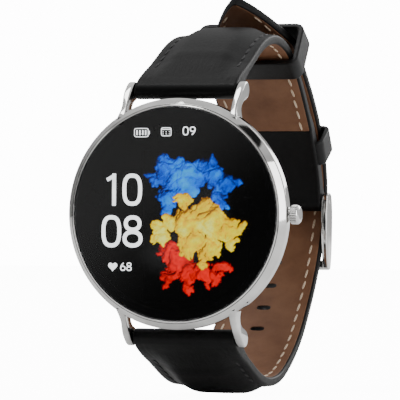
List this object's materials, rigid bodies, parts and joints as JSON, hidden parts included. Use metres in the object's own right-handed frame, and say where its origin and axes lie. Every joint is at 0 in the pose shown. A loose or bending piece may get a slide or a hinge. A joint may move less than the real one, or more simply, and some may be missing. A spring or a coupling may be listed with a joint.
{
  "type": "smartwatch",
  "caption": "Round steel smartwatch with a black glass face, four slim lugs, a side crown and a padded leather strap closed by a pin buckle",
  "frame": {"origin": "centre of the flat outer face of the case back's sensor window, which rests on the wrist", "axes": "+X from the case centre to the crown, +Y from the display through the case to the wrist, +Z from six to twelve o'clock"},
  "size_m": [0.0441, 0.0647, 0.0746],
  "materials": {
    "brushed_case_steel": "fine brushed stainless steel",
    "polished_steel": "polished stainless steel",
    "turned_steel": "turned stainless steel",
    "dark_glass": "polished",
    "black_leather": "smooth calf leather, satin",
    "brown_leather": "matt lining leather",
    "foam": "pressed padding",
    "seal_rubber": "moulded",
    "circuit_board": "solder mask",
    "battery_foil": "laminated foil pouch",
    "gold_contact": "gold plated",
    "black_plastic": "moulded"
  },
  "bodies": {
    "case": {"battery": "battery_foil", "bezel_ring": "polished_steel", "buckle_pin": "turned_steel", "button_switch": "black_plastic", "case_back": "brushed_case_steel", "case_back_gasket": "seal_rubber", "case_back_screw_1": "turned_steel", "case_back_screw_2": "turned_steel", "case_back_screw_3": "turned_steel", "case_back_screw_4": "turned_steel", "case_body": "brushed_case_steel", "charging_contact_left": "gold_contact", "charging_contact_right": "gold_contact", "cover_glass": "dark_glass", "crown_seal": "seal_rubber", "crown_tube": "turned_steel", "display_panel": "black_plastic", "fixed_keeper": "black_leather", "glass_gasket": "seal_rubber", "inner_frame": "black_plastic", "main_board": "circuit_board", "processor_shield": "turned_steel", "sensor_board": "circuit_board", "sensor_window": "dark_glass", "spring_bar_12_coil": "turned_steel", "spring_bar_12_tube": "turned_steel", "spring_bar_6_coil": "turned_steel", "spring_bar_6_tube": "turned_steel", "strap_12_leather": "black_leather", "strap_12_lining": "brown_leather", "strap_12_padding": "foam", "strap_6_leather": "black_leather", "strap_6_lining": "brown_leather", "strap_6_padding": "foam", "vibration_motor": "turned_steel"},
    "crown_stem": {"crown_stem": "turned_steel", "crown_clip": "turned_steel"},
    "crown_cap": {"crown_cap": "polished_steel"},
    "bar_tip_12": {"spring_bar_12_tip": "turned_steel"},
    "bar_tip_6": {"spring_bar_6_tip": "turned_steel"},
    "free_keeper": {"free_keeper": "black_leather"},
    "buckle_frame": {"buckle_frame": "polished_steel"},
    "buckle_tongue": {"buckle_tongue": "polished_steel"}
  },
  "joints": [
    {"name": "crown_press", "type": "slide", "parent": "case", "child": "crown_stem", "axis": [-1, 0, 0], "range_m": [0, 0.0003], "stiffness_N_per_m": 3000},
    {"name": "crown_turn", "type": "hinge", "parent": "crown_stem", "child": "crown_cap", "pos_m": [0.022, -0.00665, 0], "axis": [1, 0, 0], "continuous": true},
    {"name": "bar_tip_12_slide", "type": "slide", "parent": "case", "child": "bar_tip_12", "axis": [-1, 0, 0], "range_m": [0, 0.001], "stiffness_N_per_m": 900, "deforming": ["spring_bar_12_coil"]},
    {"name": "bar_tip_6_slide", "type": "slide", "parent": "case", "child": "bar_tip_6", "axis": [-1, 0, 0], "range_m": [0, 0.001], "stiffness_N_per_m": 900, "deforming": ["spring_bar_6_coil"]},
    {"name": "free_keeper_slide", "type": "slide", "parent": "case", "child": "free_keeper", "axis": [0, 0.8222, -0.5692], "range_m": [-0.001, 0.001]},
    {"name": "buckle_frame_hinge", "type": "hinge", "parent": "case", "child": "buckle_frame", "pos_m": [0, 0.05145, 0.00251], "axis": [1, 0, 0], "range_deg": [-1, 1]},
    {"name": "buckle_tongue_hinge", "type": "hinge", "parent": "case", "child": "buckle_tongue", "pos_m": [0, 0.05145, 0.00251], "axis": [1, 0, 0], "range_deg": [0, 4]}
  ]
}
